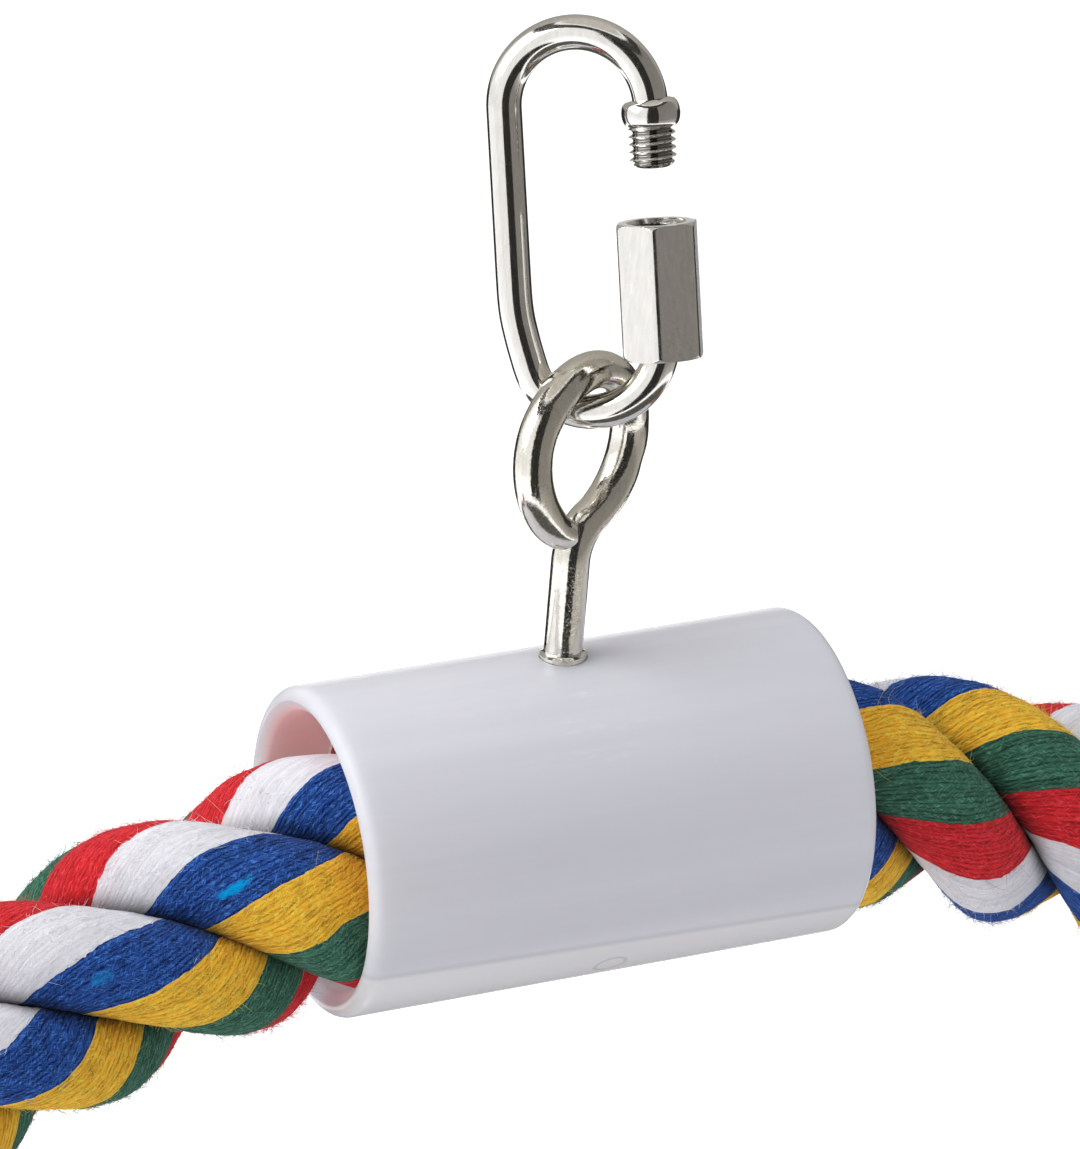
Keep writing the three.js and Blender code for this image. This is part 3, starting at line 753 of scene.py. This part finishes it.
def span(value, low, high, start=0.0, end=1.0):
    """A value moved from the range start to end into the range low to high, and held there."""
    inputs = {"Value": value, "From Min": start, "From Max": end, "To Min": low, "To Max": high}
    return add(value.id_data, "MapRange", inputs).outputs[0]


def scaled(vector, scale, turn=(0, 0, 0)):
    """Coordinates turned and stretched by a Mapping node."""
    return add(vector.id_data, "Mapping", {"Vector": vector, "Scale": scale, "Rotation": turn}).outputs[0]


def noise(vector, scale, detail=2.0, roughness=0.5):
    """Value of a noise texture, from about 0.2 to 0.8, with one scale or one for each axis."""
    if isinstance(scale, tuple):
        vector, scale = scaled(vector, scale), 1.0
    inputs = {"Vector": vector, "Scale": scale, "Detail": detail, "Roughness": roughness}
    return add(vector.id_data, "TexNoise", inputs).outputs[0]


def distance_to(vector, place=(0, 0, 0)):
    """Distance of coordinates from a place in millimetres."""
    inputs = {0: vector, 1: Vector(place) * MM}
    return add(vector.id_data, "VectorMath", inputs, operation="DISTANCE").outputs["Value"]


def mixed(share, first, second, blend="MIX"):
    """Two colours mixed by a share."""
    inputs = {MIX_SHARE: share, MIX_FIRST: first, MIX_SECOND: second}
    made = add(tree_of(share, first, second), "Mix", inputs, data_type="RGBA", blend_type=blend)
    return made.outputs[MIX_RESULT]


def embossed(height, strength, distance):
    """Normals of a relief whose height counts in a distance in metres."""
    inputs = {"Height": height, "Strength": strength, "Distance": distance}
    return add(height.id_data, "Bump", inputs).outputs[0]


def finish(name, **plain):
    """A new material with a Principled shader and its plain values."""
    material = bpy.data.materials.new(name)
    material.use_nodes = True
    shader = material.node_tree.nodes["Principled BSDF"]
    for socket, value in plain.items():
        shader.inputs[socket.replace("_", " ")].default_value = value
    return material, material.node_tree, shader


def feed(shader, **sources):
    """Links sockets to a shader's inputs."""
    for socket, source in sources.items():
        shader.id_data.links.new(source, shader.inputs[socket.replace("_", " ")])


def wear(material, *pieces):
    """Gives pieces a finish as their only one."""
    for piece in pieces:
        piece.data.materials.clear()
        piece.data.materials.append(material)
    print(material.name, "on", [piece.name for piece in pieces])


# %% [markdown]
# The steel is nickel plated: warm, bright and nearly a mirror. What tells it from a perfect mirror is small:
# fine lines from drawing and turning, cloudy spots where fingers and tools have been, and a faint ripple.
# Link, nut, bolt and core wire share these marks, so they are a node group with a roughness and a strength.

# %% Plated steel
# How dark the painted shade in the screw threads and down the nut's bore gets
GROOVE_SHADE = 0.42


def plating_group():
    """Group of handling marks: cloudy roughness, fine scratches and ripple from one set of coordinates."""
    group = bpy.data.node_groups.new("plating_marks", "ShaderNodeTree")
    group.interface.new_socket("Vector", in_out="INPUT", socket_type="NodeSocketVector")
    for way, names in (("INPUT", ("Roughness", "Marks")), ("OUTPUT", ("Roughness", "Shade", "Height"))):
        for name in names:
            group.interface.new_socket(name, in_out=way, socket_type="NodeSocketFloat")
    start = group.nodes.new("NodeGroupInput").outputs
    end = group.nodes.new("NodeGroupOutput").inputs
    place, marks = start["Vector"], start["Marks"]
    cloud = noise(place, 260, 4.0, 0.6)
    specks = noise(place, 1900, 3.0, 0.7)
    grain = noise(place, 5200, 2.0, 0.6)
    lines = noise(place, (2700, 2700, 270), 3.0, 0.6)
    grime = times(span(cloud, 0, 1, 0.48, 0.72), span(specks, 0, 1, 0.45, 0.62))
    soiled = times(grime, marks)
    pitted = times(span(grain, 0, 0.17, 0.48, 0.64), maths("POWER", marks, 2.0))
    rough = plus(times(span(lines, 0.6, 1.5, 0.3, 0.7), start["Roughness"]), pitted)
    drawn = span(lines, 0.92, 1.05, 0.3, 0.7)
    ripple = times(plus(specks, grain), marks)
    group.links.new(maths("MULTIPLY_ADD", soiled, 0.16, rough), end["Roughness"])
    group.links.new(times(span(soiled, 1.0, 0.66), drawn), end["Shade"])
    group.links.new(maths("MULTIPLY_ADD", lines, 0.4, ripple), end["Height"])
    return group


plating = plating_group()


def plated(name, colour, roughness, marks, relief):
    """Plated steel of a colour with its own share of the handling marks."""
    material, tree, shader = finish(name, Metallic=1.0, IOR=1.5)
    place = add(tree, "TexCoord").outputs["Object"]
    inputs = {"Vector": place, "Roughness": roughness, "Marks": marks}
    group = add(tree, "Group", inputs, node_tree=plating).outputs
    # Threads and the nut's bore are darker the deeper they lie: painted shade in the recesses.
    groove = add(tree, "Attribute", attribute_name="groove").outputs["Fac"]
    shade = times(group["Shade"], span(groove, 1.0, GROOVE_SHADE))
    feed(shader, Base_Color=mixed(1.0, (*colour, 1), shade, "MULTIPLY"), Roughness=group["Roughness"],
         Normal=embossed(group["Height"], 0.5, relief))
    return material


wear(plated("link_plating", (0.83, 0.81, 0.77), 0.10, 0.35, 0.000004), link_piece)
wear(plated("nut_plating", (0.83, 0.81, 0.77), 0.17, 0.45, 0.000006), nut_piece)
wear(plated("bolt_plating", (0.84, 0.81, 0.73), 0.06, 1.0, 0.000014), bolt_piece)
wear(plated("core_steel", (0.55, 0.54, 0.53), 0.35, 0.8, 0.000010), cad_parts["core_wire"])

# %% [markdown]
# The sleeve is plain white pipe. Under a soft light it shows a faint lilac cast, long pale streaks from
# extrusion, one fine line low on the front, a round mark near the bottom and a few scuffs under the bolt.
# Its bore is tinged with pink, less so at the bottom, because the red yarn shines on it. It glows a little,
# because some light comes through the thin wall.

# %% White plastic
MARK_PLACE, MARK_RADIUS, MARK_WIDTH = (0.2, -11.3, -12.3), 1.6, 0.35
SCUFF_PLACE, SCUFF_REACH = (-3.0, -6.5, 15.0), 12.0
LINE_DROP, LINE_SLOPE, LINE_WIDTH = 8.5, 0.035, 0.55
FRONT_FULL, FRONT_END = -8.0, -4.0
BORE_FULL, BORE_FADE = BORE_RADIUS + 0.2, BORE_RADIUS + 0.9


def white_plastic():
    """Gloss plastic: streaks along the pipe, a line low on the front, a round mark, scuffs and a pink bore.
    Each of these is a mask that paints its colour over the last by a strength."""
    material, tree, shader = finish("white_pipe", Emission_Strength=0.13, Roughness=0.2, IOR=1.46,
                                    Specular_IOR_Level=0.3, Subsurface_Weight=0.45,
                                    Subsurface_Scale=0.007, Subsurface_Radius=(1.0, 0.85, 0.8))
    place = add(tree, "TexCoord").outputs["Object"]
    local = add(tree, "Mapping", {"Vector": place, "Location": tuple(-sleeve_middle * MM)}).outputs[0]
    axes = add(tree, "SeparateXYZ", {"Vector": local}).outputs
    streak = noise(local, (12, 260, 260), 4.0, 0.55)
    cloud = span(noise(local, (40, 60, 60)), 0, 1, 0.4, 0.7)
    height = plus(maths("MULTIPLY_ADD", axes["X"], LINE_SLOPE, axes["Z"]), LINE_DROP * MM)
    front = span(axes["Y"], 1, 0, FRONT_FULL * MM, FRONT_END * MM)
    # Below the line the front is painted lighter: painted light from the floor.
    below = times(span(height, 1, 0, -LINE_WIDTH * MM, 0.0), front)
    line = times(span(maths("ABSOLUTE", height), 1, 0, 0.0, LINE_WIDTH * MM), front)
    from_mark = maths("ABSOLUTE", plus(distance_to(local, MARK_PLACE), -MARK_RADIUS * MM))
    mark = span(from_mark, 1, 0, 0.0, MARK_WIDTH * MM)
    near = span(distance_to(local, SCUFF_PLACE), 1, 0, 0.0, SCUFF_REACH * MM)
    scuff = times(span(noise(local, (160, 520, 520), 3.0, 0.6), 0, 1, 0.6, 0.7), near)
    level = add(tree, "CombineXYZ", {"Y": axes["Y"], "Z": axes["Z"]}).outputs[0]
    bore = span(distance_to(level), 1, 0, BORE_FULL * MM, BORE_FADE * MM)
    upper = span(axes["Z"], 0, 1, -BORE_RADIUS * MM, 0.0)
    colour = mixed(span(streak, 0, 1, 0.35, 0.7), (0.775, 0.776, 0.835, 1), (0.82, 0.82, 0.875, 1))
    for mask, strength, paint in (
        (cloud, 0.35, (0.785, 0.785, 0.855, 1)),
        # Painted light from the floor, over the front below the line
        (below, 1.0, (0.875, 0.87, 0.885, 1)),
        (line, 0.4, (0.56, 0.555, 0.60, 1)),
        (mark, 0.55, (0.47, 0.47, 0.45, 1)),
        (scuff, 0.6, (0.95, 0.95, 0.96, 1)),
        (times(bore, span(upper, 0.2, 1)), 0.6, (0.92, 0.60, 0.60, 1)),
    ):
        colour = mixed(times(mask, strength), colour, paint)
    glow = mixed(bore, (0, 0, 0, 1), mixed(upper, (0.85, 0.72, 0.72, 1), (1.0, 0.52, 0.52, 1)))
    relief = maths("MULTIPLY_ADD", streak, 0.5, times(mark, -0.6))
    feed(shader, Base_Color=colour, Emission_Color=glow, Roughness=span(streak, 0.17, 0.26, 0.3, 0.7),
         Normal=embossed(relief, 0.5, 0.00003))
    return material


wear(white_plastic(), sleeve_piece)

# %% [markdown]
# Cotton yarn is matt and soft. The UV map counts yarns across a strand and millimetres along it, so one
# colour ramp gives the five bands, a rounded step gives every yarn its own ridge and painted shade in the
# cracks between yarns, and noise stretched along the yarn gives the spun fibres, partly with painted
# highlights, the paler flecks and the slightly ragged edge between two colours.

# %% Striped cotton
# Colour of each band, and in the fourth number how much its yarns and the painted shade in the
# cracks between them stand out
BAND_COLOURS = (
    (0.67, 0.026, 0.032, 0.62),
    (0.83, 0.82, 0.86, 0.17),
    (0.021, 0.080, 0.32, 1.0),
    (0.98, 0.545, 0.045, 0.64),
    (0.050, 0.158, 0.100, 0.75),
)
CRACK_SHADE_TINT, FLUFF_TINT = (0.42, 0.42, 0.47, 1), (0.015, 0.025, 0.04, 1)
# Tufts of lint caught in the yarns: middle, direction and half sizes in millimetres, and how strong each is
LINT = (
    ((-42.8, -13.9, -75.8), (2.6, -1.0, 1.64), (2.2, 1.8, 0.5), 1.0),
    ((-57.2, -15.3, -82.2), (2.0, -0.75, 1.25), (1.3, 1.6, 0.7), 0.35),
)
LINT_COLOUR = (0.0, 0.36, 0.82, 1)
STROKE_TURNS = 0.6, -0.8


def lint(place, middle, way, size):
    """Mask of a tuft: a long blot that lies along a direction, with an edge made ragged by noise."""
    turn = Vector(way).to_track_quat("X", "Z").to_euler()
    inputs = {"Vector": place, "Location": Vector(middle) * MM, "Rotation": turn, "Scale": Vector(size) * MM}
    local = add(place.id_data, "Mapping", inputs, vector_type="TEXTURE").outputs[0]
    ragged = plus(distance_to(local), span(noise(local, 2.6, 3.0, 0.6), -0.5, 0.5, 0.2, 0.8))
    return span(ragged, 1, 0, 0.75, 1.05)


def strokes(yarn_map, turn):
    """Mask of short thin strokes, as of loose fibres pressed on the yarns at an angle to them."""
    turned = scaled(yarn_map, (YARN_WIDTH, 1, 1), (0, 0, turn))
    return span(noise(turned, (7, 1.1, 1)), 0, 1, 0.56, 0.66)


def band_ramp(place):
    """Colour of the band at a place from 0 to 1 across a strand, and how much its yarns stand out."""
    ramp = add(place.id_data, "ValToRGB", {"Fac": place})
    ramp.color_ramp.interpolation = "CONSTANT"
    stops = ramp.color_ramp.elements
    while len(stops) < len(BAND_COLOURS):
        stops.new(0.5)
    for number, colour in enumerate(BAND_COLOURS):
        stops[number].position = number / len(BAND_COLOURS)
        stops[number].color = colour
    return ramp.outputs["Color"], ramp.outputs["Alpha"]


def striped_cotton(name, pale):
    """Five bands of yarn: painted shade in the fine cracks between yarns, spun fibres that are partly
    lit by painted highlights, paler fluff across them, painted shade in the creases and two tufts of
    lint. Hairs take the paler colour by their pale share."""
    material, tree, shader = finish(name, Roughness=1.0, Sheen_Weight=0.06, Sheen_Roughness=0.5,
                                    Specular_IOR_Level=0.1)
    yarn_map = add(tree, "UVMap", uv_map="yarn").outputs[0]
    axes = add(tree, "SeparateXYZ", {"Vector": yarn_map}).outputs
    wander = span(noise(yarn_map, (0.4, 0.11, 1)), -0.6, 0.6, 0.25, 0.75)
    shake = span(noise(yarn_map, (1.0, 0.9, 1)), -0.22, 0.22, 0.25, 0.75)
    yarn = plus(plus(axes["X"], wander), shake)
    dye, contrast = band_ramp(maths("FRACT", maths("DIVIDE", yarn, float(YARNS))))
    ridge = times(maths("PINGPONG", yarn, 0.5), 2.0)
    # Where the yarns part there is a crack between them, which gets painted shade.
    parted = span(noise(yarn_map, (0.9, 0.5, 1), 3.0, 0.6), 0.35, 1, 0.35, 0.55)
    crack_shade = times(span(ridge, 1, 0, 0.0, 0.55), parted)
    own = add(tree, "TexWhiteNoise", {"W": maths("FLOOR", yarn)}, noise_dimensions="1D").outputs["Value"]
    twisted = maths("MULTIPLY_ADD", axes["Y"], 0.25, axes["X"])
    twist = add(tree, "CombineXYZ", {"X": twisted, "Y": axes["Y"]}).outputs[0]
    fibres = noise(twist, (2.2, 0.7, 1), 4.0, 0.65)
    slow = span(noise(yarn_map, (0.3, 0.06, 1)), 0.92, 1.08, 0.3, 0.7)
    fluff = maths("MAXIMUM", *(strokes(yarn_map, turn) for turn in STROKE_TURNS))
    # The spun fibres' light and dark strokes are partly their own tone and partly painted highlights on the
    # threads.
    uneven = plus(span(fibres, -0.6, 0.72, 0.32, 0.68), span(own, -0.2, 0.2))
    uneven = maths("MULTIPLY_ADD", fluff, 0.5, uneven)
    light = maths("MULTIPLY_ADD", uneven, contrast, slow)
    groove = add(tree, "Attribute", attribute_name="groove").outputs["Fac"]
    toned = mixed(1.0, dye, times(light, span(groove, 1.0, 0.3)), "MULTIPLY")
    # Painted shade in the cracks between yarns: the colour squared and tinted, darker and deeper in hue.
    crack_shade_colour = mixed(1.0, mixed(1.0, toned, toned, "MULTIPLY"), CRACK_SHADE_TINT, "MULTIPLY")
    toned = mixed(times(crack_shade, contrast), toned, crack_shade_colour)
    paler = mixed(1.0, mixed(1.0, toned, toned, "SCREEN"), FLUFF_TINT, "SCREEN")
    toned = mixed(maths("MAXIMUM", times(fluff, contrast), pale), toned, paler)
    place = add(tree, "TexCoord").outputs["Object"]
    for *tuft, strength in LINT:
        toned = mixed(times(lint(place, *tuft), strength), toned, LINT_COLOUR)
    rounded = plus(maths("POWER", ridge, 0.6), fluff)
    height = times(plus(fibres, rounded), span(contrast, 0.25, 0.75))
    feed(shader, Base_Color=toned, Normal=embossed(height, 0.8, 0.0001))
    return material


wear(striped_cotton("striped_cotton", 0.0), *strand_pieces)
wear(striped_cotton("cotton_fluff", 1.0), *fibre_pieces)

# %% [markdown]
# The tape is a plain weave. Two waves at right angles, one along the band and one across it, multiply into
# a fine check of threads.

# %% Binding tape
def tape_cloth():
    """Unbleached cloth with a fine check of threads."""
    material, tree, shader = finish("tape_cloth", Roughness=0.9, Sheen_Weight=0.2)
    inputs = {"Vector": add(tree, "TexCoord").outputs["Object"], "Scale": 420.0}
    weave = times(*(add(tree, "TexWave", inputs, bands_direction=way).outputs["Fac"] for way in "XZ"))
    colour = mixed(weave, (0.62, 0.59, 0.50, 1), (0.82, 0.79, 0.71, 1))
    feed(shader, Base_Color=colour, Normal=embossed(weave, 0.6, 0.0001))
    return material


wear(tape_cloth(), *tape_pieces)

# %% [markdown]
# The studio is white all round, with a floor that still takes a shadow. Bright metal shows what surrounds
# it, so a photographer sets dark and grey cards where the camera can't see them: they draw the dark core
# and the edges on the rods. Here the cards are seen by reflections alone and change nothing else.

# %% Floor, cards and light
FLOOR_DROP, FLOOR_HALF = 0.02, 4
CARD_TINT, CARD_COLUMNS = (1.0, 0.95, 0.885, 1), 25
WALL, LOW, KNEE, MID, HIGH, RIM, LID = 0.5, -0.34, -0.18, -0.05, 0.48, 0.9, 1.15
floor_height = cad_box[0].z - FLOOR_DROP
low_card_height = floor_height + 0.003
scene.view_settings.view_transform = "Standard"


def seen_by_eye(tree):
    """One for rays from the camera, in a mirror or through glass, and zero for rays that light things."""
    rays = add(tree, "LightPath").outputs
    mirrored = maths("MAXIMUM", rays["Is Camera Ray"], rays["Is Glossy Ray"])
    return maths("MAXIMUM", mirrored, rays["Is Transmission Ray"])


def bare_material(name):
    """A new material with an empty tree."""
    material = bpy.data.materials.new(name)
    material.use_nodes = True
    material.node_tree.nodes.clear()
    return material, material.node_tree


def stage_piece(name, points, faces, material):
    """A piece of the stage from points in metres."""
    mesh = bpy.data.meshes.new(name)
    mesh.from_pydata(points, [], faces)
    mesh.materials.append(material)
    made = into_scene(name, mesh)
    return made


def floor_paper():
    """Paper that looks white to the eye, yet keeps the shadow that falls on it."""
    material, tree = bare_material("floor_paper")
    paper = add(tree, "BsdfDiffuse", {"Color": (0.86, 0.86, 0.87, 1)})
    glow = add(tree, "Emission", {"Color": (1, 1, 1, 1), "Strength": span(seen_by_eye(tree), 0.20, 0.74)})
    both = add(tree, "AddShader", {0: paper.outputs[0], 1: glow.outputs[0]})
    add(tree, "OutputMaterial", {"Surface": both.outputs[0]})
    return material


def card(name, first, last, low, high, level, top_level=None):
    """A curved card between two rims, each a radius and a height in metres, and between two azimuths in
    degrees from the camera's. Its brightness may change with the height. It is seen in reflections only."""
    azimuth = AIM_AZIMUTH + np.radians(np.linspace(first, last, CARD_COLUMNS))
    way = np.stack([np.sin(azimuth), -np.cos(azimuth), 0 * azimuth], -1)
    points = np.concatenate([way * radius + [0, 0, height] for radius, height in (low, high)])
    points[:, :2] += sleeve_middle[:2] * MM
    faces = np.arange(CARD_COLUMNS - 1)[:, None] + [0, 1, CARD_COLUMNS + 1, CARD_COLUMNS]
    material, tree = bare_material(name)
    if top_level is not None:
        place = add(tree, "TexCoord").outputs["Object"]
        height = add(tree, "SeparateXYZ", {"Vector": place}).outputs["Z"]
        level = span(height, level, top_level, low[1], high[1])
    glow = add(tree, "Emission", {"Color": CARD_TINT, "Strength": level})
    add(tree, "OutputMaterial", {"Surface": glow.outputs[0]})
    made = stage_piece(name, points.tolist(), faces.tolist(), material)
    made.visible_camera = made.visible_diffuse = made.visible_shadow = made.visible_transmission = False
    print(name, "seen in reflections")


def lamp(name, azimuth, elevation, distance, size, power):
    """A soft square lamp that faces the sleeve from a direction given from the camera's azimuth."""
    light = bpy.data.lights.new(name, "AREA")
    light.energy, light.size = power, size
    made = into_scene(name, light)
    way = towards(AIM_AZIMUTH + np.radians(azimuth), np.radians(elevation))
    made.location = sleeve_middle * MM + way * distance
    made.rotation_euler = facing_back(way)
    print(name, "lamp", power, "W")
    return made


floor_sides = ((-1, -1), (1, -1), (1, 1), (-1, 1))
floor_corners = [(x * FLOOR_HALF, y * FLOOR_HALF, floor_height) for x, y in floor_sides]
stage_piece("floor", floor_corners, [(0, 1, 2, 3)], floor_paper())
card("front_card", -14, 32, (WALL, LOW), (WALL, HIGH), 0.03)
card("right_low_card", 32, 122, (WALL, LOW), (WALL, KNEE), 0.55, 0.3)
card("right_card", 32, 122, (WALL, KNEE), (WALL, HIGH), 0.26, 0.22)
card("back_right_card", 122, 166, (WALL, LOW), (WALL, MID), 0.03)
card("back_left_card", 194, 240, (WALL, LOW), (WALL, MID), 0.03)
card("sky_card", 122, 240, (WALL, MID), (WALL, LID), 0.35, 0.6)
card("rim_card", -120, 122, (WALL, HIGH), (WALL, RIM), 0.05)
card("lid_card", 0, 360, (WALL, LID), (0.001, LID), 0.6)
card("low_card", 0, 360, (0.10, low_card_height), (0.44, low_card_height), 0.10)

world = bpy.data.worlds.new("studio")
scene.world = world
world.use_nodes = True
air = world.node_tree
air.nodes.clear()
fill = add(air, "Background", {"Color": (0.945, 0.955, 1.0, 1), "Strength": 0.44})
white = add(air, "Background", {"Color": (1, 1, 1, 1), "Strength": 1.0})
shown = add(air, "MixShader", {0: seen_by_eye(air), 1: fill.outputs[0], 2: white.outputs[0]})
add(air, "OutputWorld", {"Surface": shown.outputs[0]})
lamp("window", -75, 38, 1.1, 0.9, 8.2)
overhead = lamp("overhead", 10, 78, 1.2, 0.8, 2.6)
overhead.visible_glossy = False
